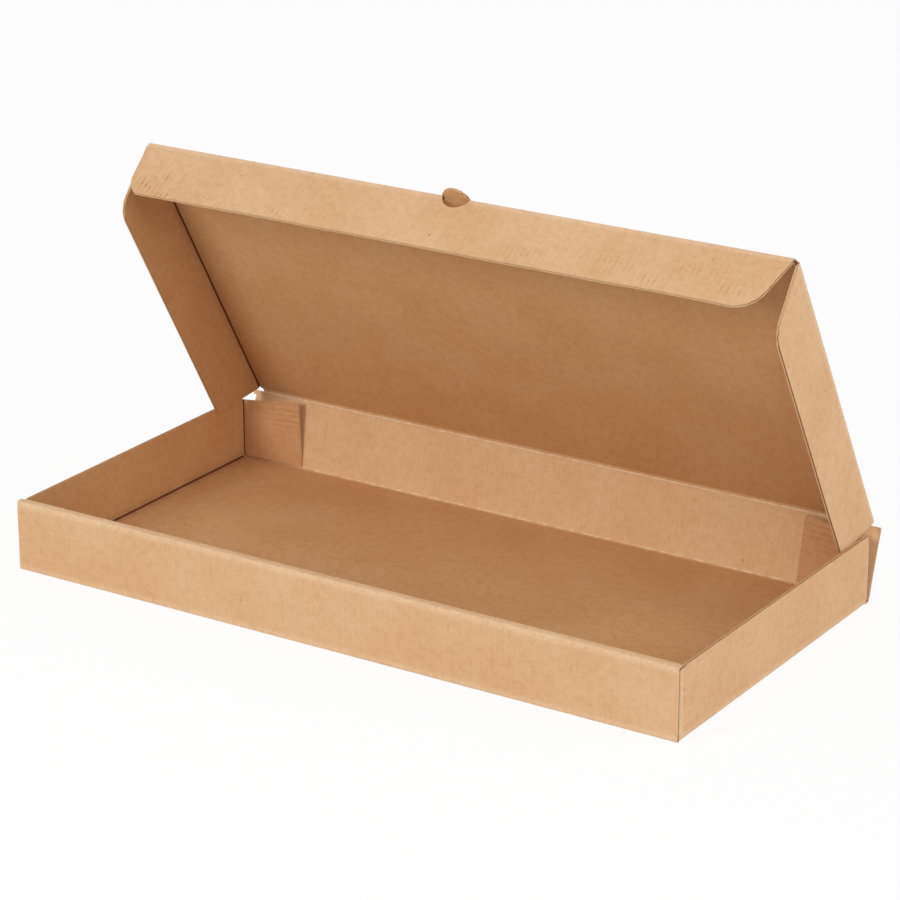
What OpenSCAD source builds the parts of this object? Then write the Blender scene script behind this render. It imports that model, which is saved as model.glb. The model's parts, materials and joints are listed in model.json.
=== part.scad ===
// Flatbread box: a long shallow tray with a hinged lid, folded from one sheet of corrugated board.
// The origin is the centre of the tray's underside, +X runs along the length and +Y to the back.

/* [Board] */
// Thickness of the corrugated board
board_t = 1.6; // [1.2:0.1:2.4]
// Gap between two layers of board that lie against each other
layer_gap = 0.3; // [0.2:0.05:0.6]
// Gap at each crease that moves, from the bead to the panel that turns round it
crease_gap = 0.4; // [0.3:0.05:0.8]

/* [Tray] */
// Outer length of the tray
tray_l = 400; // [280:5:520]
// Outer depth of the tray, from the front wall to the back wall
tray_w = 204; // [160:2:300]
// Height of the front wall
front_h = 39; // [34:1:50]
// How far the side walls stand below the top of the front wall
side_drop = 1; // [0:0.25:3]
// Length over which a side wall's top slopes down to its rear tab
side_slope_l = 2; // [1:0.5:6]

/* [Corner tabs] */
// How far the corner tabs stand below the top of the front wall
tab_drop = 4.6; // [2.8:0.2:6]
// Reach of a rear tab along the back wall, from the outside of the side wall
rear_tab_l = 41; // [25:1:60]
// Reach of a front tab between the layers of the front wall
front_tab_l = 58; // [30:1:80]
// How much shorter a tab is at its top than at its foot
tab_slant = 2; // [0:0.5:8]
// Radius of the tabs' upper corners
tab_r = 2.5; // [1:0.5:6]

/* [Front wall locks] */
// Width of each lock tab under the front wall's inner panel
lock_w = 36; // [20:1:60]
// Distance between the middles of the two lock tabs
lock_spacing = 210; // [120:5:260]
// Slant on each side of a lock tab, from its root to its tip
lock_slant = 0.8; // [0:0.1:1.2]
// Gap round a lock tab in its slot
slot_gap = 0.5; // [0.3:0.1:1]

/* [Lid] */
// Gap between each wing and the side wall beside it, at the lid's crease
wing_gap = 1.8; // [1.2:0.1:3]
// Angle by which the wings spread outwards from square, in degrees
wing_splay = 1.5; // [0:0.25:1.5]
// Gap between the front flap and the front wall, at the lid's crease
flap_gap = 0.6; // [0.5:0.1:3]
// Angle by which the front flap leans in from square, in degrees
flap_lean = 2.5; // [2:0.5:6]
// Gap between the closed lid's flaps and the floor
floor_gap = 2; // [1:0.1:6]
// Distance from the lid's rear crease to the start of each wing
wing_start = 3.5; // [3.5:0.5:12]
// How far each rear corner of the lid panel is cut in, at the crease
lid_corner_cut = 2; // [0.5:0.5:6]
// Slant of a wing's rear end, in degrees
wing_rear_slant = 25; // [25:1:40]
// Radius of a wing's rear corner
wing_rear_r = 10; // [4:1:14]
// Slant of a wing's front end, in degrees
wing_front_slant = 21; // [12:1:30]
// Radius of a wing's front corner
wing_front_r = 14; // [6:1:20]
// Distance from each end of the lid's front crease to the corner of the panel
flap_start = 0.8; // [0.4:0.1:4]
// Slant of the front flap's ends, in degrees
flap_slant = 14; // [6:1:30]
// Radius of the front flap's corners
flap_r = 15; // [6:1:18]

/* [Thumb tab] */
// Width of the half-moon thumb tab along the crease
thumb_w = 16; // [10:1:30]
// How far the thumb tab stands past the crease
thumb_h = 6.5; // [4:0.5:7]

/* [Pose] */
// Angle by which the back wall leans back from upright, in degrees
back_lean = 17.4; // [0:0.2:30]
// Angle of the lid above level, in degrees
lid_lift = 59.7; // [40:0.1:80]

/* [Hidden] */
arc_steps = 96;
fold_steps = 8;
thumb_steps = 24;
kraft_outside = [0.85, 0.69, 0.53];
kraft_inside = [0.70, 0.50, 0.34];

// Tray
half_l = tray_l / 2;
front_y = -tray_w / 2;
front_wall_t = 3 * board_t + 2 * layer_gap;
front_tab_y = front_y + board_t + layer_gap;
inner_panel_y = front_y + front_wall_t - board_t;
inner_panel_half = half_l - board_t - layer_gap;
inner_panel_foot = board_t + layer_gap;
side_h = front_h - side_drop;
tab_top = front_h - tab_drop;
tab_foot = board_t + layer_gap;
slot_w = lock_w + 2 * slot_gap;

// Creases that move: the back wall turns about the low one and the lid about the high one
low_crease_y = tray_w / 2 - board_t / 2;
low_crease_z = board_t / 2;
crease_clear = board_t / 2 + crease_gap;
tray_end_y = low_crease_y - crease_clear;
back_h = front_h + layer_gap;
high_crease_y = low_crease_y + back_h * sin(back_lean);
high_crease_z = low_crease_z + back_h * cos(back_lean);

// Lid, drawn shut with its rear crease at the origin
lid_half = half_l - board_t - wing_gap;
lid_reach = low_crease_y - (front_y + front_wall_t) - flap_gap;
flap_h = back_h - floor_gap;
fold_to_edge = flap_h - board_t;
lid_inner_half = lid_half - board_t;
lid_inner_reach = lid_reach - board_t;
strip_root = 2 * board_t;
thumb_r = (pow(thumb_w / 2, 2) + pow(thumb_h, 2)) / (2 * thumb_h);

function unit(v) = v / norm(v);

// Half the angle between the two edges that meet at point b
function half_angle(a, b, c) = acos(unit(a - b) * unit(c - b)) / 2;

// Flat outline with rounded corners: each point has a radius, and 0 leaves its corner sharp
module outline(points, radii) {
  n = len(points);
  before = [for (i = [0:n - 1]) points[(i + n - 1) % n]];
  after = [for (i = [0:n - 1]) points[(i + 1) % n]];
  half = [for (i = [0:n - 1]) half_angle(before[i], points[i], after[i])];
  polygon([for (i = [0:n - 1]) each radii[i] == 0
    ? [points[i]]
    : [for (next = [before[i], after[i]]) points[i] + unit(next - points[i]) * radii[i] / tan(half[i])]]);
  for (i = [0:n - 1])
    if (radii[i] > 0)
      translate(points[i] + unit(unit(before[i] - points[i]) + unit(after[i] - points[i]))
        * radii[i] / sin(half[i]))
        circle(r = radii[i], $fn = arc_steps);
}

// Outside of a square fold: a quarter round between the x and y axes
module fold_outline() {
  intersection() {
    circle(r = board_t, $fn = arc_steps);
    square(board_t);
  }
}

// Board that comes in along x to a fold at the origin, turns down by the given angle and runs on
module folded_strip(turn, depth) {
  onward = [cos(turn), -sin(turn)];
  outward = [sin(turn), cos(turn)];
  polygon([
    [-strip_root, 0], [-strip_root, board_t],
    for (i = [0:fold_steps]) let (a = 90 - turn * i / fold_steps) board_t * [cos(a), sin(a)],
    board_t * outward + depth * onward, depth * onward, [0, 0]
  ]);
}

// Places what is drawn in plan (x, y) as upright board along X: x stays and y becomes height
module stand_along_x() {
  rotate([90, 0, 0]) translate([0, 0, -board_t]) linear_extrude(board_t) children();
}

// Draws a profile given as (y, z) and runs it along X between two ends
module run_along_x(from, to) {
  translate([from, 0, 0]) rotate([90, 0, 90]) linear_extrude(to - from) children();
}

// Draws a profile given as (x, z) and runs it along Y between two ends
module run_along_y(from, to) {
  translate([0, to, 0]) rotate([90, 0, 0]) linear_extrude(to - from) children();
}

module both_ends() {
  children();
  mirror([1, 0, 0]) children();
}

// Front wall's outer panel with its fold to the floor
module front_outer_panel() {
  run_along_x(-half_l, half_l) {
    translate([front_y, board_t]) square([board_t, front_h - 2 * board_t]);
    translate([front_y + board_t, board_t]) rotate(180) fold_outline();
  }
}

// Flat band on top of the front wall, between its two creases
module front_top_band() {
  crown = front_h - board_t;
  run_along_x(-inner_panel_half, inner_panel_half) {
    translate([front_y + board_t, crown]) square([front_wall_t - 2 * board_t, board_t]);
    translate([front_y + board_t, crown]) rotate(90) fold_outline();
    translate([inner_panel_y, crown]) fold_outline();
  }
}

// Panel rolled over to the inside of the front wall, with its lock tabs
module front_inner_panel() {
  translate([-inner_panel_half, inner_panel_y, inner_panel_foot])
    cube([2 * inner_panel_half, board_t, front_h - board_t - inner_panel_foot]);
  for (side = [-1, 1])
    translate([side * lock_spacing / 2, inner_panel_y, 0])
      stand_along_x()
        polygon([
          [-lock_w / 2, inner_panel_foot], [lock_slant - lock_w / 2, 0],
          [lock_w / 2 - lock_slant, 0], [lock_w / 2, inner_panel_foot]
        ]);
}

module floor_slots() {
  for (side = [-1, 1])
    translate([side * lock_spacing / 2 - slot_w / 2, inner_panel_y - slot_gap, -board_t])
      cube([slot_w, board_t + 2 * slot_gap, 3 * board_t]);
}

// Side wall with its fold to the floor, at the +X end
module side_wall() {
  inside = half_l - board_t;
  front_end = front_tab_y + board_t;
  rear_end = tray_end_y - board_t;
  run_along_y(front_tab_y, tray_end_y) translate([inside, board_t]) rotate(-90) fold_outline();
  run_along_x(inside, half_l)
    polygon([
      [front_end, board_t], [rear_end, board_t], [rear_end, tab_top],
      [rear_end - side_slope_l, side_h], [front_end, side_h]
    ]);
}

// Corner tab, drawn from the inside of its fold: reach along x and height along y
module tab_outline(reach) {
  outline(
    [[0, tab_foot], [reach, tab_foot], [reach - tab_slant, tab_top], [0, tab_top]],
    [0, tab_r / 2, tab_r, 0]
  );
}

// Tabs at both ends of the +X side wall, each with its upright fold
module corner_tabs() {
  inside = half_l - board_t;
  tab_h = tab_top - tab_foot;
  translate([inside, front_tab_y, 0])
    mirror([1, 0, 0]) stand_along_x() tab_outline(front_tab_l - board_t);
  translate([inside, front_tab_y + board_t, tab_foot])
    linear_extrude(tab_h) rotate(-90) fold_outline();
  translate([inside, tray_end_y - board_t, 0])
    mirror([1, 0, 0]) stand_along_x() tab_outline(rear_tab_l - board_t);
  translate([inside, tray_end_y - board_t, tab_foot])
    linear_extrude(tab_h) fold_outline();
}

module floor_panel() {
  difference() {
    translate([board_t - half_l, front_y + board_t, 0])
      cube([tray_l - 2 * board_t, tray_end_y - front_y - board_t, board_t]);
    floor_slots();
  }
}

module tray() {
  color(kraft_outside) {
    floor_panel();
    front_outer_panel();
    front_top_band();
    front_inner_panel();
    both_ends() {
      side_wall();
      corner_tabs();
    }
  }
}

// Back wall, as long as the tray, with a rounded bead along each crease
module back_wall() {
  color(kraft_inside)
    translate([0, low_crease_y, low_crease_z])
      rotate([-back_lean, 0, 0])
        run_along_x(-half_l, half_l) {
          translate([-board_t / 2, 0]) square([board_t, back_h]);
          for (crease = [0, back_h]) translate([0, crease]) circle(d = board_t, $fn = arc_steps);
        }
}

// Half-moon of the thumb tab past a crease on the x axis, with a root on the crease's other side
module thumb_outline() {
  rise = asin((thumb_r - thumb_h) / thumb_r);
  polygon([
    [-thumb_w / 2, -strip_root], [thumb_w / 2, -strip_root],
    for (i = [0:thumb_steps]) let (a = rise + (180 - 2 * rise) * i / thumb_steps)
      [thumb_r * cos(a), thumb_h - thumb_r + thumb_r * sin(a)]
  ]);
}

// Keeps what lies in the outline that is drawn past the crease, seen along the lid's side or front
module trim_along_x() {
  intersection() {
    children(0);
    translate([lid_inner_half - strip_root, 0, -board_t / 2])
      rotate([90, 0, 90]) linear_extrude(fold_to_edge) children(1);
  }
}

module trim_along_y() {
  intersection() {
    children(0);
    translate([0, strip_root - lid_inner_reach, -board_t / 2])
      rotate([90, 0, 0]) linear_extrude(fold_to_edge) children(1);
  }
}

module lid_panel() {
  corner_half = lid_inner_half - lid_corner_cut;
  translate([0, 0, -board_t / 2])
    linear_extrude(board_t)
      polygon([
        [-lid_inner_half, -lid_inner_reach], [lid_inner_half, -lid_inner_reach],
        [lid_inner_half, -wing_start], [corner_half, -crease_clear],
        [-corner_half, -crease_clear], [-lid_inner_half, -wing_start]
      ]);
}

// Wing at the +X side: its fold along the panel and its slanted, rounded outline
module lid_wing() {
  crease_end = lid_inner_reach - flap_start;
  rear_slope = fold_to_edge * tan(wing_rear_slant);
  front_slope = fold_to_edge * tan(wing_front_slant);
  trim_along_x() {
    run_along_y(-crease_end, -wing_start)
      translate([lid_inner_half, -board_t / 2]) folded_strip(90 - wing_splay, flap_h);
    outline(
      [
        [-wing_start, strip_root], [-wing_start, 0], [-wing_start - rear_slope, -fold_to_edge],
        [front_slope - crease_end, -fold_to_edge], [-crease_end, 0], [-crease_end, strip_root]
      ],
      [0, 0, wing_rear_r, wing_front_r, 0, 0]
    );
  }
}

// Front flap with the hole that the thumb tab was cut from
module lid_front_flap() {
  crease_half = lid_inner_half - flap_start;
  slope = fold_to_edge * tan(flap_slant);
  trim_along_y() {
    run_along_x(-crease_half, crease_half)
      translate([-lid_inner_reach, -board_t / 2])
        mirror([1, 0]) folded_strip(90 + flap_lean, flap_h);
    difference() {
      outline(
        [
          [-crease_half, strip_root], [-crease_half, 0], [slope - crease_half, -fold_to_edge],
          [crease_half - slope, -fold_to_edge], [crease_half, 0], [crease_half, strip_root]
        ],
        [0, 0, flap_r, flap_r, 0, 0]
      );
      mirror([0, 1]) thumb_outline();
    }
  }
}

// Thumb tab, level with the lid and standing past its front crease
module thumb_tab() {
  translate([0, -lid_reach, -board_t / 2])
    linear_extrude(board_t) mirror([0, 1]) thumb_outline();
}

module lid() {
  color(kraft_outside)
    translate([0, high_crease_y, high_crease_z])
      rotate([-lid_lift, 0, 0]) {
        lid_panel();
        lid_front_flap();
        thumb_tab();
        both_ends() lid_wing();
      }
}

tray();
back_wall();
lid();
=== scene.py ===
# Flatbread box in unbleached kraft E-flute board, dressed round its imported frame.
import json
import math

import bmesh
import bpy
from mathutils import Matrix, Vector, noise
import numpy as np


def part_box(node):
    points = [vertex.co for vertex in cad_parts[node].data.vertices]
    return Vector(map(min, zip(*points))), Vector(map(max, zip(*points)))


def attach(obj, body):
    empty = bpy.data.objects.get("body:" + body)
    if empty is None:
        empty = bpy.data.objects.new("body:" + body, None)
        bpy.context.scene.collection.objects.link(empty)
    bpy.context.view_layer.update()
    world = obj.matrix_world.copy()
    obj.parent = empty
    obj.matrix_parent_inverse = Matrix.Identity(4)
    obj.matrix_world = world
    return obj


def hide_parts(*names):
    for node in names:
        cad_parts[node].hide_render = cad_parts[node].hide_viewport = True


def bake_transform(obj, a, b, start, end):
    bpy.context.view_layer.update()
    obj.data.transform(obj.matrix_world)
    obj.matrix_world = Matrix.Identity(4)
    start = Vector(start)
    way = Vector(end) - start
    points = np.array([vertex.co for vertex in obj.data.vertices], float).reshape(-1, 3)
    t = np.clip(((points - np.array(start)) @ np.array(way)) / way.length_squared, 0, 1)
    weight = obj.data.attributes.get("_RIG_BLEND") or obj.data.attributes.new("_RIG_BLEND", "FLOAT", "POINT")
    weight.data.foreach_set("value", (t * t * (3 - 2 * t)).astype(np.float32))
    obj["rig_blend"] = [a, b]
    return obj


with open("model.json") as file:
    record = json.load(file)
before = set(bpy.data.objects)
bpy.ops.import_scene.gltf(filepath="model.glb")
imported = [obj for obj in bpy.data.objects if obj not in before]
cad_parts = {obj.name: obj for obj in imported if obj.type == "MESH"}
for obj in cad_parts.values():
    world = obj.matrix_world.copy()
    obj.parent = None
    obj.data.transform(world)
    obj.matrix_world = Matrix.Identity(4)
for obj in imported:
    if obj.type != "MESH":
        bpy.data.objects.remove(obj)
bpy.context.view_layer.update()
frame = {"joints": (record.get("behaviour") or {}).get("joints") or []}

# The blank.
# The whole box is one die-cut sheet of E-flute: two liners glued to a wavy medium, 1.6 mm through.
# Each part of it starts flat, inside up, and is creased and folded the way the sheet is.
mm = 0.001
square = math.pi / 2
creases = {joint["name"]: Vector(joint["pos_m"]) for joint in frame["joints"]}
low_crease = creases["back_wall_lean"]
high_crease = creases["lid_hinge"]
board_t = 2 * low_crease.z
liner_t = 0.26 * mm
medium_recess = 0.22 * mm
fold_sharpness = 0.65
mesh_step = 5 * mm
fold_roll = board_t * square
fold_rows = 5
groove_depth = 0.8 * mm
groove_w = 0.9 * mm


def grid_lines(stops, step=mesh_step):
    """Lines through all the stops, with more between stops that lie further apart than a step."""
    lines = [stops[0]]
    for start, end in zip(stops, stops[1:]):
        count = max(1, math.ceil((end - start) / step - 0.01))
        lines += [start + (end - start) * (i + 1) / count for i in range(count)]
    return lines


def fold_stops(crease, outward, roll=fold_roll):
    """Stops for a fold that starts at a crease: its grooved edges and the rows that round it."""
    rows = [crease + outward * roll * i / fold_rows for i in range(fold_rows + 1)]
    edges = [crease - outward * groove_w * part for part in (1, 0.5)]
    edges += [crease + outward * (roll + groove_w * part) for part in (0.5, 1)]
    return rows + edges


def flat_sheet(xs, ys):
    """A grid of faces in the plane z = 0, with its lines at the given places."""
    sheet = bmesh.new()
    columns, rows = len(xs) - 1, len(ys) - 1
    bmesh.ops.create_grid(sheet, x_segments=columns, y_segments=rows, size=0.5)
    for vert in sheet.verts:
        vert.co.x = xs[round((vert.co.x + 0.5) * columns)]
        vert.co.y = ys[round((vert.co.y + 0.5) * rows)]
    return sheet


def faces_where(sheet, test):
    """The faces whose middle passes a test of x and y."""
    return [face for face in sheet.faces if test(*face.calc_center_median().xy)]


def cut_away(sheet, test):
    bmesh.ops.delete(sheet, geom=faces_where(sheet, test), context="FACES")


def trim(sheet, test, point, outward):
    """Cuts the faces that pass the test along a line, and clears what lies past it."""
    parts = [part for face in faces_where(sheet, test) for part in (*face.verts, *face.edges, face)]
    bmesh.ops.bisect_plane(
        sheet, geom=list(dict.fromkeys(parts)), dist=0.0001 * mm,
        plane_co=(*point, 0), plane_no=(*outward, 0), clear_outer=True,
    )


def trim_corner(sheet, test, centre, radius, from_angle, to_angle, steps=8):
    """Rounds a corner with straight cuts, from one of its edges to the other."""
    for i in range(steps + 1):
        angle = from_angle + (to_angle - from_angle) * i / steps
        outward = Vector((math.cos(angle), math.sin(angle)))
        trim(sheet, test, Vector(centre) + radius * outward, outward)


def thicken(sheet):
    """Gives a flat sheet its thickness below z = 0 and sets the medium back between the liners."""
    bmesh.ops.solidify(sheet, geom=sheet.faces[:], thickness=board_t)
    sheet.normal_update()
    rim = [face for face in sheet.faces if abs(face.normal.z) < 0.5]
    bmesh.ops.inset_region(
        sheet, faces=rim, thickness=liner_t, depth=-medium_recess, use_even_offset=True
    )
    blank = sheet.loops.layers.uv.new("blank")
    names = ("depth", "along", "crease", "crush")
    depth, along, _, _ = [sheet.verts.layers.float.new(name) for name in names]
    for face in sheet.faces:
        for loop in face.loops:
            loop[blank].uv = loop.vert.co.xy
    for face in rim:
        for vert in face.verts:
            vert[along] = max(vert[along], abs(face.normal.x))
    for vert in sheet.verts:
        vert[depth] = min(1, max(0, -vert.co.z / board_t))
    return {vert: vert.co.copy() for vert in sheet.verts}


def falloff(distance, reach):
    """1 at no distance, easing to 0 at the reach."""
    near = 1 - min(1, max(0, distance / reach))
    return near * near * (3 - 2 * near)


def score(sheet, flat, along, outward, covers, roll=fold_roll, groove=groove_depth):
    """Presses a crease into the inner liner, wavers its outside and marks both for the material's scuff and
    painted shade.
    """
    scuff_and_shade = sheet.verts.layers.float["crease"]
    for vert, spot in flat.items():
        past = spot.dot(outward) - along
        aside = max(-past, past - roll, 0)
        if aside > 3 * groove_w or not covers(spot):
            continue
        run = abs(spot.x * outward.y) + abs(spot.y * outward.x)
        shiver = noise.noise(Vector((run / (9 * mm), along / mm, 0)))
        inner = 1 + spot.z / board_t
        # the crease mark sets the scuff and the painted shade inside the fold
        vert[scuff_and_shade] = max(vert[scuff_and_shade], falloff(aside, 3 * groove_w))
        vert.co.z -= inner * groove * falloff(aside, groove_w) * (0.85 + 0.2 * shiver)
        vert.co.z += (1 - inner) * 0.1 * mm * abs(shiver) * falloff(aside, 2 * groove_w)


def fold(
    sheet, flat, crease, outward, covers, turn=square, roll=fold_roll, sharp=fold_sharpness
):
    """Turns up the part past a crease, and rounds the strip beside it that the fold takes up.

    The score has crushed that strip, so its outside is drawn out towards a sharp corner.
    """
    axis = outward.cross(Vector((0, 0, 1)))
    for vert, spot in flat.items():
        past = (spot - crease).dot(outward)
        if past > 0 and covers(spot):
            taken = min(past, roll)
            angle = turn * taken / roll
            bent = vert.co - crease - outward * taken
            bent.z *= 1 + sharp * (1 / math.cos(min(angle, turn - angle)) - 1)
            vert.co = crease + Matrix.Rotation(angle, 3, axis) @ bent


def ripple(x, y, size, seed=0.0):
    """A smooth unevenness from -1 to 1, about as wide as the size."""
    return noise.noise(Vector((x / size, y / size, seed)))


# Kraft liner.
# Unbleached kraft paper is matte, with cloudy formation, fibres along the machine and dark flecks.
# The flutes show through as faint lines, and a cut edge shows the medium waving between the liners.
def linear(hex_colour):
    """A linear colour from an sRGB hex value."""
    parts = [int(hex_colour[i:i + 2], 16) / 255 for i in (0, 2, 4)]
    return (*[((c + 0.055) / 1.055) ** 2.4 if c > 0.04045 else c / 12.92 for c in parts], 1)


def add_node(tree, kind, links, **settings):
    """A node with its settings and, by socket, its values or the sockets that feed it."""
    node = tree.nodes.new(kind)
    for name, value in settings.items():
        setattr(node, name, value)
    for socket, value in links.items():
        if isinstance(value, bpy.types.NodeSocket):
            tree.links.new(value, node.inputs[socket])
        else:
            node.inputs[socket].default_value = value
    return node


flute_pitch = 3.2 * mm


def kraft_board(name, outside, inside, flecks=9, scuffed=0.3, flute_shade=0.9):
    """Kraft E-flute whose colour and relief follow the flat blank, in millimetres."""
    material = bpy.data.materials.new(name)
    material.use_nodes = True
    tree = material.node_tree
    shader = tree.nodes["Principled BSDF"]

    def calculate(operation, *values, clamp=False):
        links = dict(enumerate(values))
        math_node = add_node(tree, "ShaderNodeMath", links, operation=operation, use_clamp=clamp)
        return math_node.outputs[0]

    def between(value, low, high, to_low=0.0, to_high=1.0):
        links = {0: value, 1: low, 2: high, 3: to_low, 4: to_high}
        eased = add_node(tree, "ShaderNodeMapRange", links, interpolation_type="SMOOTHSTEP")
        return eased.outputs[0]

    def tinted(factor, a, b, blend="MIX"):
        links = {0: factor, 6: a, 7: b}
        mix = add_node(tree, "ShaderNodeMix", links, data_type="RGBA", blend_type=blend)
        return mix.outputs[2]

    def cloud(size, detail, roughness=0.55, stretch=(1, 1, 1), shift=0.0):
        place = add_node(tree, "ShaderNodeMapping", {
            0: blank, 1: (shift, shift, shift), 3: [part / size for part in stretch]
        }).outputs[0]
        links = {"Vector": place, "Scale": 1.0, "Detail": detail, "Roughness": roughness}
        return add_node(tree, "ShaderNodeTexNoise", links).outputs[0]

    uv = add_node(tree, "ShaderNodeUVMap", {}, uv_map="blank").outputs[0]
    to_mm = add_node(tree, "ShaderNodeVectorMath", {0: uv, "Scale": 1 / mm}, operation="SCALE")
    blank = to_mm.outputs[0]
    across = add_node(tree, "ShaderNodeSeparateXYZ", {0: blank}).outputs[0]
    depth, crease, crush, along = [
        add_node(tree, "ShaderNodeAttribute", {}, attribute_name=name).outputs[2]
        for name in ("depth", "crease", "crush", "along")
    ]

    # paper: broad clouds, formation a few millimetres wide and fibres drawn coarse enough to show
    # both liners are the same kraft: the inside colour is painted darker and more orange, standing in for
    # shade inside the box
    colour = tinted(depth, linear(inside), linear(outside))
    clouds = between(cloud(45, 3), 0.35, 0.65)
    colour = tinted(clouds, colour, linear("fbf5ef"), "MULTIPLY")
    formation = cloud(4.5, 5, 0.65, shift=7)
    colour = tinted(between(formation, 0.38, 0.7, 0, 0.3), colour, linear("e6d3bf"), "MULTIPLY")
    fibres = cloud(1.1, 3, 0.7, stretch=(0.4, 1, 1), shift=3)
    colour = tinted(between(fibres, 0.5, 0.8, 0, 0.4), colour, linear("d8bfa3"), "MULTIPLY")

    # flecks: one dark bark speck in some cells of a loose grid, whose cells are this many mm wide
    cells = {"Vector": blank, "Scale": 1 / flecks, "Randomness": 1.0}
    speck = add_node(tree, "ShaderNodeTexVoronoi", cells)
    chosen = add_node(tree, "ShaderNodeSeparateXYZ", {0: speck.outputs[1]}).outputs[0]
    ragged = calculate("ADD", speck.outputs[0], calculate("MULTIPLY", fibres, 0.09))
    spot = calculate("MULTIPLY", between(ragged, 0.085, 0.125, 1, 0), between(chosen, 0.75, 0.98))
    colour = tinted(calculate("MULTIPLY", spot, 0.7), colour, linear("6b4424"))

    # flutes: faint lines along the blank's depth, stronger where the board was crushed
    turns = calculate("MULTIPLY", across, 2 * math.pi * mm / flute_pitch)
    wave = calculate("SINE", calculate("ADD", turns, calculate("MULTIPLY", cloud(30, 1), 1.5)))
    ridge = calculate("POWER", calculate("ABSOLUTE", between(wave, -1, 1)), 3)
    patchy = between(cloud(22, 2, shift=11), 0.4, 0.7, 0.01, 0.05)
    pressed = calculate("MULTIPLY", crush, between(cloud(3, 2, 0.7, shift=17), 0.44, 0.56))
    shown = calculate("ADD", patchy, calculate("MULTIPLY", pressed, 0.55))
    colour = tinted(calculate("MULTIPLY", ridge, shown), colour, linear("a97f55"), "MULTIPLY")

    # creases: painted shade darkens the inside of the fold, and a little scuff lightens the outside of it
    inner = calculate("SUBTRACT", 1.0, depth, clamp=True)
    broken = between(cloud(2.5, 3, shift=23), 0.35, 0.65, 0.4, 1)
    scuff = calculate("MULTIPLY", between(crease, 0.4, 0.9), broken)
    colour = tinted(calculate("MULTIPLY", scuff, scuffed), colour, linear("f0dabb"))
    painted_crease_shade = calculate("MULTIPLY", between(crease, 0.7, 0.92), inner)
    colour = tinted(calculate("MULTIPLY", painted_crease_shade, 0.9), colour, linear("7a3f18"))

    # cut edge: pale liners, painted shade in the open flutes, and the medium's wave between them
    middle = calculate("MULTIPLY_ADD", calculate("SINE", turns), 0.27, 0.5)
    off = calculate("ABSOLUTE", calculate("SUBTRACT", depth, middle))
    medium = between(off, 0.06, 0.13, 1, 0)
    inside_rim = calculate(
        "MULTIPLY", between(depth, 0.13, 0.2), between(depth, 0.8, 0.87, 1, 0)
    )
    hollows = calculate("MULTIPLY", inside_rim, calculate("SUBTRACT", 1.0, medium))
    rim = calculate("MULTIPLY", between(depth, 0.0, 0.08), between(depth, 0.92, 1.0, 1, 0))
    colour = tinted(calculate("MULTIPLY", rim, 0.5), colour, linear("e0c19d"))
    painted_flute_shade = calculate("MULTIPLY", hollows, between(along, 0.3, 0.9, flute_shade / 2, flute_shade))
    colour = tinted(painted_flute_shade, colour, linear("80552f"))

    relief = calculate("MULTIPLY_ADD", fibres, 0.35, calculate("MULTIPLY", formation, 0.4))
    relief = calculate("MULTIPLY_ADD", calculate("MULTIPLY", wave, shown), 2.2, relief)
    rise = {"Height": relief, "Strength": 0.5, "Distance": 0.12 * mm}
    bump = add_node(tree, "ShaderNodeBump", rise)
    tree.links.new(colour, shader.inputs["Base Color"])
    tree.links.new(bump.outputs[0], shader.inputs["Normal"])
    tree.links.new(between(formation, 0.3, 0.7, 0.72, 0.86), shader.inputs["Roughness"])
    shader.inputs["IOR"].default_value = 1.45
    shader.inputs["Specular IOR Level"].default_value = 0.3
    return material


outer_liner = "dab289"
# The inside liner colour is painted darker than the outside, standing in for the shade inside the box.
kraft = kraft_board("unbleached kraft E-flute", outer_liner, inside="cb9f71")


def finish_board(name, sheet, place, board=kraft):
    """Turns a folded sheet into a piece, in place and with its finish."""
    bmesh.ops.transform(sheet, matrix=place, verts=sheet.verts)
    mesh = bpy.data.meshes.new(name)
    sheet.to_mesh(mesh)
    sheet.free()
    mesh.materials.append(board)
    mesh.shade_smooth()
    mesh.set_sharp_from_angle(angle=math.radians(38))
    piece = bpy.data.objects.new(name, mesh)
    bpy.context.scene.collection.objects.link(piece)
    return piece


# Tray.
# The floor with its side walls, and the front wall that rolls over itself.
# Two lock tabs at the foot of the roll seat in slots in the floor, and hold the front corner tabs.
tray_low, tray_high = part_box("tray")
half_l = tray_high.x
front_y = tray_low.y
front_h = tray_high.z
layer_gap = 0.3 * mm
side_h = front_h - 1 * mm
tab_top = front_h - 4.6 * mm
tab_foot = board_t + layer_gap
wall_x = half_l - board_t
wall_edge = wall_x + fold_roll + side_h - board_t
tab_low_x = wall_x + fold_roll + tab_foot - board_t
tab_high_x = wall_x + fold_roll + tab_top - board_t
strip_w = 3 * mm
floor_end = low_crease.y - strip_w
rear_tab_y = low_crease.y - board_t / 2 - 0.4 * mm - board_t
front_tab_y = front_y + 2 * board_t + layer_gap
front_crease_y = front_y + board_t
front_wall_t = 3 * board_t + 2 * layer_gap
top_y = front_crease_y - fold_roll - (front_h - 2 * board_t)
band_y = top_y - fold_roll - (front_wall_t - 2 * board_t)
inner_end_y = band_y - fold_roll - (front_h - 2 * board_t - layer_gap)
lock_end_y = inner_end_y - board_t - layer_gap
front_tab_end = front_tab_y - fold_roll - (58 * mm - board_t)
roll_half = wall_x - layer_gap
lock_at, lock_half = 105 * mm, 18 * mm
slot_half, slot_gap = 18.5 * mm, 0.5 * mm
slot_y = front_y + front_wall_t - board_t - slot_gap
slot_rear_y = front_y + front_wall_t + slot_gap
to_left, to_right = Vector((-1, 0, 0)), Vector((1, 0, 0))
to_front, to_back = Vector((0, -1, 0)), Vector((0, 1, 0))

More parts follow.
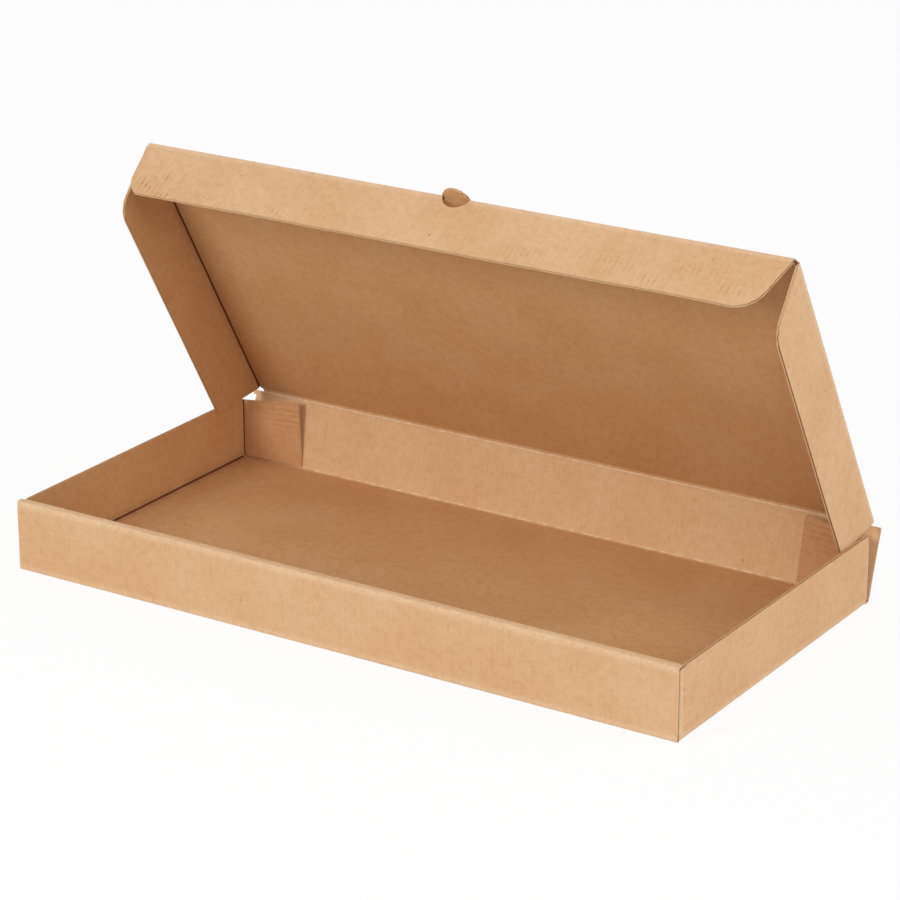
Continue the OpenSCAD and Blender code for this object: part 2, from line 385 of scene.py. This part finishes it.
right_stops = [0, roll_half, wall_edge, half_l, tab_low_x, tab_high_x, *fold_stops(wall_x, 1)]
right_stops += [lock_at + side * part for side in (-1, 1) for part in (lock_half, slot_half)]
x_stops = sorted({round(side * stop, 7) for side in (-1, 1) for stop in right_stops})
y_stops = [floor_end, rear_tab_y, front_tab_end, inner_end_y, lock_end_y, slot_y, slot_rear_y]
for crease_y in (front_tab_y, front_crease_y, top_y, band_y):
    y_stops += fold_stops(crease_y, -1)
y_stops.append(front_tab_y - board_t)
y_stops = sorted({round(stop, 7) for stop in y_stops})
tray = flat_sheet(grid_lines(x_stops), grid_lines(y_stops))


def in_front_wall(x, y):
    return y < front_crease_y and abs(x) < half_l


def in_side_wall(x, y):
    in_tab = tab_low_x < abs(x) < tab_high_x and y > front_tab_end
    in_fold = abs(x) < wall_x + fold_roll and y > front_tab_y - board_t
    return abs(x) > wall_x and (y > front_tab_y - fold_roll or in_fold or in_tab)


def outside_tray(x, y):
    floor = abs(x) < wall_x and y > front_crease_y and y < floor_end
    slots = abs(abs(x) - lock_at) < slot_half and slot_y < y < slot_rear_y
    return not (floor or in_front_wall(x, y) or in_side_wall(x, y)) or slots


cut_away(tray, outside_tray)
cut_away(tray, lambda x, y: y < band_y and abs(x) > roll_half and in_front_wall(x, y))
cut_away(
    tray, lambda x, y: y < inner_end_y and abs(x) < half_l and abs(abs(x) - lock_at) > lock_half
)
cut_away(tray, lambda x, y: y < lock_end_y and abs(x) < half_l)
for side in (-1, 1):
    tab_corner = (side * (tab_high_x - 2.5 * mm), front_tab_end + 2.5 * mm)
    trim_corner(
        tray, lambda x, y: x * side > tab_low_x and y < front_tab_y - fold_roll,
        tab_corner, 2.5 * mm, square * (1 - side), -square, steps=4,
    )
    trim(
        tray, lambda x, y: x * side > wall_x + fold_roll and y > 0,
        (side * wall_edge, rear_tab_y - 0.6 * mm), Vector((side * 0.6, 3.6)).normalized(),
    )
    trim(
        tray, lambda x, y: x * side > wall_x + fold_roll and y < -92 * mm,
        (side * wall_edge, -93 * mm), Vector((side * 7.1, -0.9)).normalized(),
    )
tray_flat = thicken(tray)


def over_floor(spot):
    return abs(spot.x) <= wall_x + 0.2 * mm


def over_side(spot):
    return spot.y > front_tab_y - board_t - 0.2 * mm


def over_side_wall(spot):
    return abs(spot.x) > half_l + 0.2 * mm


def over_front_wall(spot):
    return spot.y < front_crease_y and abs(spot.x) <= half_l + 0.01 * mm


for vert, spot in tray_flat.items():
    uneven = ripple(spot.x, spot.y, 70 * mm) * 0.12 * mm
    if spot.y < front_crease_y - fold_roll and over_front_wall(spot) and spot.y > top_y:
        vert.co.z += abs(uneven)
    if abs(spot.x) > wall_x + fold_roll:
        rise = (abs(spot.x) - wall_x - fold_roll) / (side_h - board_t)
        vert.co.z += abs(ripple(spot.x, spot.y, 90 * mm, 4)) * 0.15 * mm * rise
for side, outward in ((-1, to_left), (1, to_right)):
    score(tray, tray_flat, wall_x, outward, over_side)
score(tray, tray_flat, -front_tab_y, to_front, over_side_wall)
for crease_y in (front_crease_y, top_y, band_y):
    score(tray, tray_flat, -crease_y, to_front, lambda spot: abs(spot.x) <= half_l)
for crease_y in (band_y, top_y):
    fold(tray, tray_flat, Vector((0, crease_y, 0)), to_front, over_front_wall)
fold(tray, tray_flat, Vector((0, front_tab_y, 0)), to_front, over_side_wall)
fold(tray, tray_flat, Vector((0, front_crease_y, 0)), to_front, over_front_wall)
for side, outward in ((-1, to_left), (1, to_right)):
    fold(
        tray, tray_flat, Vector((side * wall_x, 0, 0)), outward,
        lambda spot: not over_front_wall(spot),
    )
# The tray's inside colour is painted a little lighter than the lid's, standing in for light.
tray_kraft = kraft_board("tray kraft E-flute", outer_liner, inside="d1a678")
tray_piece = finish_board(
    "tray_sheet", tray, Matrix.Translation((0, 0, board_t)), tray_kraft
)
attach(tray_piece, "tray")
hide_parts("tray")

# Rear corner tabs.
# Each is folded in from a side wall, in front of the back wall, and only its fold holds it.
# It springs back against the leaning back wall, so its free end goes where the back wall goes.
tab_reach = 41 * mm - board_t
tab_end_y = rear_tab_y + fold_roll + tab_reach
tab_rise = 3.1 * mm
tab_bottom, tab_brim = tab_low_x + 0.4 * mm, tab_high_x + 1.6 * mm
# The tabs' inside colour is painted a little darker, standing in for the shade in the rear corners, and
# their cut edges get less painted flute shade.
shaded_tab_kraft = kraft_board("shaded kraft E-flute", outer_liner, inside="cfa074", flute_shade=0.4)
tabs = (
    ("rear_tab_left", -1, to_left, 5.2 * mm, math.radians(9.6), 0.9 * mm),
    ("rear_tab_right", 1, to_right, 0.5 * mm, math.radians(11.5), 0.2 * mm),
)
for name, side, outward, tab_slant, tab_spring, foot_gap in tabs:
    lines = grid_lines([tab_bottom, tab_brim + tab_rise], 0.8 * mm)
    fold_lines = fold_stops(rear_tab_y, 1)[:fold_rows + 1]
    rows = grid_lines(sorted([rear_tab_y, tab_end_y, *fold_lines]), 1.5 * mm)
    tab = flat_sheet(sorted(side * line for line in lines), rows)
    trim(
        tab, lambda x, y: True, (side * (tab_brim + tab_rise), tab_end_y),
        Vector((side * tab_reach, -tab_rise)).normalized(),
    )
    trim(
        tab, lambda x, y: True, (side * tab_bottom, tab_end_y),
        Vector((side * tab_slant, tab_brim - tab_bottom)).normalized(),
    )
    trim(
        tab, lambda x, y: True,
        (side * (tab_brim + tab_rise), tab_end_y - tab_slant - 0.9 * mm),
        Vector((side, 1)).normalized(),
    )
    tab_flat = thicken(tab)
    crush = tab.verts.layers.float["crush"]
    for vert, spot in tab_flat.items():
        loose = min(1, max(0, (spot.y - rear_tab_y - fold_roll) / tab_reach))
        top = (abs(spot.x) - tab_bottom) / (tab_brim - tab_bottom)
        buckled = falloff(math.hypot((loose - 0.7) / 0.6, (top - 0.85) / 0.45), 1)
        vert[crush] = 0.45 * buckled
        flutes = math.sin(math.tau * spot.x / flute_pitch + 1.8 * loose * loose)
        vert.co.z += loose * 0.35 * ripple(spot.x, spot.y, 14 * mm, 8) * mm
        uneven = 0.4 + 0.6 * abs(ripple(spot.x, spot.y, 14 * mm, 9))
        vert.co.z += buckled * uneven * 0.26 * mm * flutes
    score(tab, tab_flat, rear_tab_y, to_back, lambda spot: True)
    fold(tab, tab_flat, Vector((0, rear_tab_y, 0)), to_back, lambda spot: True)
    fold(tab, tab_flat, Vector((side * wall_x, 0, 0)), outward, lambda spot: True)
    for vert in tab.verts:
        loose = falloff(side * vert.co.x - (wall_x - tab_reach), tab_reach)
        lean = Matrix.Rotation(-tab_spring * loose, 3, "X")
        axis = low_crease - Vector((0, foot_gap * loose, board_t))
        vert.co = low_crease - Vector((0, 0, board_t)) + lean @ (vert.co - axis)
    tab_piece = finish_board(
        name, tab, Matrix.Translation((0, 0, board_t)), shaded_tab_kraft
    )
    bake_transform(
        tab_piece, "tray", "back_wall",
        start=(side * wall_x, 0, 0), end=(side * (wall_x - tab_reach), 0, 0),
    )

# Back wall.
# One panel between the two creases that move, as long as the tray.
# It leans back while the lid is up, and its ends stand free of the side walls.
back_h = (high_crease - low_crease).length
back_turn = math.atan2(high_crease.z - low_crease.z, high_crease.y - low_crease.y)
to_middle = Matrix.Translation((0, 0, board_t / 2))
# The back wall and the moving creases get an inside colour painted paler than the other pieces', standing in
# for the light on the back wall; their crease scuff is wear, laid on harder.
lit_scuffed_kraft = kraft_board("lit and scuffed kraft E-flute", outer_liner, inside="e2bc91", scuffed=1.6)
back_stops = [strip_w, strip_w + 3 * mm, back_h - 9 * mm, back_h - strip_w]
short_cut = 2 * mm
back_wall = flat_sheet(grid_lines([-half_l, half_l], 4 * mm), grid_lines(back_stops, 2 * mm))
trim(
    back_wall, lambda x, y: x < 0, (-half_l + short_cut, back_h),
    Vector((-back_h, short_cut)).normalized(),
)
back_flat = thicken(back_wall)
for vert, spot in back_flat.items():
    free = math.sin(math.pi * (spot.y - strip_w) / (back_h - 2 * strip_w))
    vert.co.z += free * ripple(spot.x, spot.y, 50 * mm, 2) * 0.35 * mm
blank_up = back_wall.loops.layers.uv["blank"]
for face in back_wall.faces:
    for loop in face.loops:
        loop[blank_up].uv.y += low_crease.y
stand_back_wall = Matrix.Translation(low_crease) @ Matrix.Rotation(back_turn, 4, "X")
back_piece = finish_board(
    "back_wall_sheet", back_wall, stand_back_wall @ to_middle, lit_scuffed_kraft
)
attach(back_piece, "back_wall")
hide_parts("back_wall")

# Lid.
# The panel with its two side wings and its front flap, folded in square and held by their creases.
# The half-moon thumb tab is cut out of the front flap's fold and stays level with the panel.
lid_lift = math.radians(59.7)
lid_inner_half = half_l - 2 * board_t - 1.8 * mm
lid_reach = low_crease.y - (front_y + front_wall_t) - 0.6 * mm
lid_inner_reach = lid_reach - board_t
flap_depth = back_h - 2 * mm - board_t
wing_start, wing_end = 3.05 * mm, lid_inner_reach - 0.8 * mm
wing_turn, flap_turn = math.radians(90 - 2.4), math.radians(90 + 2.5)
wing_roll, flap_roll = board_t * wing_turn, board_t * flap_turn
wing_edge = lid_inner_half + wing_roll + flap_depth
flap_edge = lid_inner_reach + flap_roll + flap_depth
flap_half = lid_inner_half - 0.8 * mm
corner_cut, shallower = 2 * mm, 2.2 * mm
thumb_x, thumb_half, thumb_h = 1.7 * mm, 8 * mm, 8.1 * mm - flap_roll
thumb_r = (thumb_half**2 + thumb_h**2) / (2 * thumb_h)

right_stops = [flap_half, wing_edge, *fold_stops(lid_inner_half, 1, wing_roll)]
x_stops = sorted({round(side * stop, 7) for side in (-1, 1) for stop in right_stops})
x_stops = sorted([*x_stops, thumb_x - thumb_half, thumb_x, thumb_x + thumb_half])
y_stops = [strip_w, wing_start, wing_end, flap_edge, *fold_stops(lid_inner_reach, 1, flap_roll)]
lid = flat_sheet(grid_lines(x_stops, 4 * mm), grid_lines(sorted(y_stops), 4 * mm))
cut_away(lid, lambda x, y: abs(x) > lid_inner_half and not wing_start < y < wing_end)
cut_away(lid, lambda x, y: y > lid_inner_reach and abs(x) > flap_half)


for side in (-1, 1):
    wing_corners = ((wing_start, 24, 4 * mm, 1), (wing_end, 21, 14 * mm, -1))
    for root, slant_angle, radius, forward in wing_corners:
        slant = math.radians(slant_angle)
        inset = flap_depth - radius
        along = root + forward * (radius + inset * math.sin(slant)) / math.cos(slant)
        slanted = math.atan2(-forward * math.cos(slant), side * math.sin(slant))
        edge_on = 0 if side > 0 else math.copysign(math.pi, slanted)
        trim_corner(
            lid, lambda x, y: side * x > lid_inner_half + wing_roll,
            (side * (wing_edge - radius), along), radius, slanted, edge_on,
        )
    slant, radius = math.radians(14 if side > 0 else 9), 16 * mm
    inset = flap_depth - radius - (shallower if side > 0 else 0)
    along = flap_half - (radius + inset * math.sin(slant)) / math.cos(slant)
    trim_corner(
        lid, lambda x, y: y > lid_inner_reach + flap_roll,
        (side * along, lid_inner_reach + flap_roll + inset), radius,
        math.atan2(math.sin(slant), side * math.cos(slant)), square, steps=12,
    )
    trim(
        lid, lambda x, y: y < wing_start + 0.1 * mm and abs(x) < lid_inner_half,
        (side * lid_inner_half, wing_start), Vector((side * 2.3, -2)).normalized(),
    )

trim(
    lid, lambda x, y: y > lid_inner_reach + 20 * mm, (-flap_half, flap_edge),
    Vector((shallower, 2 * flap_half)).normalized(),
)
thumb_y = lid_inner_reach + flap_roll + thumb_h - thumb_r
near_thumb = faces_where(
    lid, lambda x, y: abs(x - thumb_x) < 1.2 * thumb_half and 0 < y - lid_inner_reach < 12 * mm
)
thumb_parts = [part for face in near_thumb for part in (*face.verts, *face.edges, face)]
thumb_parts = list(dict.fromkeys(thumb_parts))
rise = math.asin((thumb_r - thumb_h) / thumb_r)
for i in range(13):
    angle = rise + (math.pi - 2 * rise) * i / 12
    outward = Vector((math.cos(angle), math.sin(angle), 0))
    cut = bmesh.ops.bisect_plane(
        lid, geom=thumb_parts, dist=0.0001 * mm,
        plane_co=Vector((thumb_x, thumb_y, 0)) + thumb_r * outward, plane_no=outward,
    )
    thumb_parts = [part for part in cut["geom"] if part.is_valid]


def in_thumb(x, y):
    in_round = math.hypot(x - thumb_x, y - thumb_y) < thumb_r * 1.001
    in_fold = y < lid_inner_reach + flap_roll
    return abs(x - thumb_x) < thumb_half and y > lid_inner_reach and (in_round or in_fold)


thumb_faces = set(faces_where(lid, in_thumb))
seam = [
    edge for edge in lid.edges
    if len(edge.link_faces) == 2 and len(thumb_faces.intersection(edge.link_faces)) == 1
    and edge.verts[0].co.y + edge.verts[1].co.y > 2 * lid_inner_reach + 0.001 * mm
]
bmesh.ops.split_edges(lid, edges=seam)
thumb_mark = lid.verts.layers.int.new("thumb")
for face in thumb_faces:
    for vert in face.verts:
        if vert.co.y > lid_inner_reach + 0.001 * mm:
            vert[thumb_mark] = 1
lid_flat = thicken(lid)

crush = lid.verts.layers.float["crush"]
# x, distance below the crease, half width and half height in millimetres, and how hard
crushed_spots = (
    (-180, 27, 13, 5, 1.0), (-168, 19, 14, 4, 0.6), (-163, 31, 12, 4, 0.9), (-140, 29, 9, 3, 0.7),
    (-124, 31, 8, 3, 0.7), (-95, 29, 6, 4, 0.8), (-86, 31, 5, 3, 0.7), (60, 26, 20, 3, 0.4),
    (105, 22, 16, 4, 0.5), (128, 27, 9, 3, 0.6), (150, 17, 12, 4, 0.5), (170, 24, 12, 4, 0.6),
)
for vert, spot in lid_flat.items():
    down = spot.y - lid_inner_reach - flap_roll
    for x, y, wide, high, force in crushed_spots:
        away = math.hypot((spot.x - x * mm) / wide, (down - y * mm) / high) / mm
        vert[crush] = max(vert[crush], force * falloff(away, 1.4))
    inside_x = max(0, 1 - abs(spot.x) / lid_inner_half)
    inside_y = max(0, min(1, 4 * spot.y / lid_inner_reach, 4 * (1 - spot.y / lid_inner_reach)))
    vert.co.z += min(1, 4 * inside_x) * inside_y * ripple(spot.x, spot.y, 110 * mm, 5) * 1.1 * mm
    if abs(spot.x) > lid_inner_half + wing_roll:
        out = (abs(spot.x) - lid_inner_half - wing_roll) / flap_depth
        vert.co.z += out * abs(ripple(spot.x, spot.y, 90 * mm, 6)) * 0.5 * mm
    if down > 0:
        vert.co.z += down / flap_depth * ripple(spot.x, spot.y, 55 * mm, 7) * 0.8 * mm
for outward in (to_left, to_right):
    score(lid, lid_flat, lid_inner_half, outward, lambda spot: True, wing_roll)
score(
    lid, lid_flat, lid_inner_reach, to_back, lambda spot: abs(spot.x - thumb_x) > thumb_half,
    flap_roll,
)
flap_flat = {vert: spot for vert, spot in lid_flat.items() if not vert[thumb_mark]}
fold(
    lid, flap_flat, Vector((0, lid_inner_reach, 0)), to_back,
    lambda spot: abs(spot.x) <= flap_half + 0.01 * mm, flap_turn, flap_roll,
)
for outward in (to_left, to_right):
    fold(
        lid, lid_flat, lid_inner_half * outward, outward,
        lambda spot: spot.y < wing_end + 0.01 * mm, wing_turn, wing_roll,
    )
blank_up = lid.loops.layers.uv["blank"]
for face in lid.faces:
    for loop in face.loops:
        loop[blank_up].uv.y += low_crease.y + back_h
raise_lid = Matrix.Translation(high_crease) @ Matrix.Rotation(math.pi - lid_lift, 4, "X")
lid_piece = finish_board("lid_sheet", lid, raise_lid @ to_middle)
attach(lid_piece, "lid")
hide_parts("lid")

# Creases that move.
# The board runs on unbroken round both, with its inner liner pressed in along the score.
# The low one joins the floor and the back wall, and the high one the back wall and the lid.
strip_roll_rows = 6


def moving_crease(name, turn_before, turn, place, ends, bodies, blank_from):
    """A strip of board bent about the crease's own axis, half of it on each body."""
    roll = board_t / 2 * turn
    rows = [roll * i / strip_roll_rows for i in range(strip_roll_rows + 1)]
    edges = [-strip_w, -1.1 * mm, -0.55 * mm, roll + 0.55 * mm, roll + 1.1 * mm, roll + strip_w]
    columns = grid_lines([-half_l, half_l], 3 * mm)
    strip = flat_sheet(columns, grid_lines(sorted(rows + edges), 1 * mm))
    for side in (-1, 1):
        for low, high, half in ends:
            trim(
                strip, lambda x, y: low < y < (roll if high is None else high) and side * x > 0,
                (side * half, 0), (side, 0),
            )
    flat = thicken(strip)
    blank = strip.loops.layers.uv["blank"]
    for face in strip.faces:
        for loop in face.loops:
            loop[blank].uv.y += blank_from
    scuff_and_shade = strip.verts.layers.float["crease"]
    for vert, spot in flat.items():
        vert.co.z += board_t / 2
        aside = max(-spot.y, spot.y - roll, 0)
        inner = 1 + spot.z / board_t
        vert[scuff_and_shade] = 0.7 * falloff(aside, 1.6 * mm)
        shiver = 0.8 + 0.4 * ripple(spot.x, spot.y, 6 * mm, blank_from)
        vert.co.z += inner * 0.7 * mm * shiver * falloff(aside, 1.4 * mm)
    fold(strip, flat, Vector((0, 0, 0)), to_back, lambda spot: True, turn, roll, sharp=0)
    turned = Matrix.Translation(place) @ Matrix.Rotation(turn_before, 4, "X")
    piece = finish_board(name, strip, turned, lit_scuffed_kraft)
    along = Vector((0, math.cos(turn_before + turn / 2), math.sin(turn_before + turn / 2)))
    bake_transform(piece, *bodies, start=place - 0.5 * mm * along, end=place + 0.5 * mm * along)


moving_crease(
    "low_crease", 0, back_turn, low_crease, ((-1, -0.0001, half_l),),
    ("tray", "back_wall"), low_crease.y,
)
moving_crease(
    "high_crease", back_turn, math.pi - lid_lift - back_turn, high_crease,
    ((0, 1, lid_inner_half - corner_cut),), ("back_wall", "lid"),
    low_crease.y + back_h,
)

# Floor, light and camera.
# A pale sweep, a broad soft light from the front left and another from the right.
# The camera stands where the box was seen from, with a long lens.
floor_sheet = flat_sheet([-9, 9], [-9, 9])
floor_mesh = bpy.data.meshes.new("floor")
floor_sheet.to_mesh(floor_mesh)
floor_sheet.free()
floor = bpy.data.objects.new("floor", floor_mesh)
floor.location.z = -0.0002
bpy.context.scene.collection.objects.link(floor)
paper = bpy.data.materials.new("white sweep")
paper.use_nodes = True
tree = paper.node_tree
tree.nodes["Principled BSDF"].inputs["Base Color"].default_value = linear("f2f2f2")
tree.nodes["Principled BSDF"].inputs["Roughness"].default_value = 0.9
tree.nodes["Principled BSDF"].inputs["Specular IOR Level"].default_value = 0.1
white = add_node(tree, "ShaderNodeEmission", {"Color": linear("ffffff"), "Strength": 1.0})
seen = add_node(tree, "ShaderNodeLightPath", {}).outputs["Is Camera Ray"]
share = add_node(tree, "ShaderNodeMath", {0: seen, 1: 0.92}, operation="MULTIPLY").outputs[0]
mixed = add_node(tree, "ShaderNodeMixShader", {
    0: share, 1: tree.nodes["Principled BSDF"].outputs[0], 2: white.outputs[0]
})
tree.links.new(mixed.outputs[0], tree.nodes["Material Output"].inputs["Surface"])
floor_mesh.materials.append(paper)

world = bpy.data.worlds.new("studio")
bpy.context.scene.world = world
world.use_nodes = True
tree = world.node_tree
paths = add_node(tree, "ShaderNodeLightPath", {})
seen = paths.outputs["Is Camera Ray"]
for kind in ("Is Glossy Ray", "Is Transmission Ray"):
    either = {0: seen, 1: paths.outputs[kind]}
    seen = add_node(tree, "ShaderNodeMath", either, operation="MAXIMUM").outputs[0]
level = add_node(tree, "ShaderNodeMapRange", {0: seen, 3: 0.25, 4: 1.0})
tree.links.new(level.outputs[0], tree.nodes["Background"].inputs["Strength"])
tree.nodes["Background"].inputs["Color"].default_value = linear("ffffff")


def area_light(name, spot, aim, size, power):
    lamp = bpy.data.lights.new(name, "AREA")
    lamp.size = size
    lamp.energy = power
    light = bpy.data.objects.new(name, lamp)
    light.location = spot
    light.rotation_euler = (Vector(aim) - Vector(spot)).to_track_quat("-Z", "Y").to_euler()
    bpy.context.scene.collection.objects.link(light)


area_light("key", (-0.806, -2.214, 1.099), (0, 0, 0.05), 0.9, 27)
area_light("right", (2.9, -0.6, 1.0), (0, 0, 0.05), 1.6, 22)
area_light("front right", (1.317, -1.569, 1.601), (0, 0, 0.05), 0.9, 10)
area_light("right back", (2.4, 1.3, 1.6), (0, 0, 0.05), 1.6, 22)
area_light("left back", (-2.4, 1.5, 1.6), (0, 0, 0.05), 1.6, 16)
area_light("top", (0.2, -0.6, 3.0), (0, 0, 0.05), 2.0, 18)

view_azimuth, view_elevation = math.radians(32.75), math.radians(20.40)
view_distance = 1.76
view_centre = Vector((0.0054, 0.0018, 0.0765))
sight = Vector((
    -math.sin(view_azimuth) * math.cos(view_elevation),
    math.cos(view_azimuth) * math.cos(view_elevation),
    -math.sin(view_elevation),
))
lens = bpy.data.cameras.new("camera")
lens.lens = 135.84
lens.sensor_width = 36
lens.clip_end = 20
camera = bpy.data.objects.new("camera", lens)
camera.location = view_centre - view_distance * sight
camera.rotation_euler = sight.to_track_quat("-Z", "Y").to_euler()
bpy.context.scene.collection.objects.link(camera)
bpy.context.scene.camera = camera
bpy.context.scene.view_settings.view_transform = "Standard"
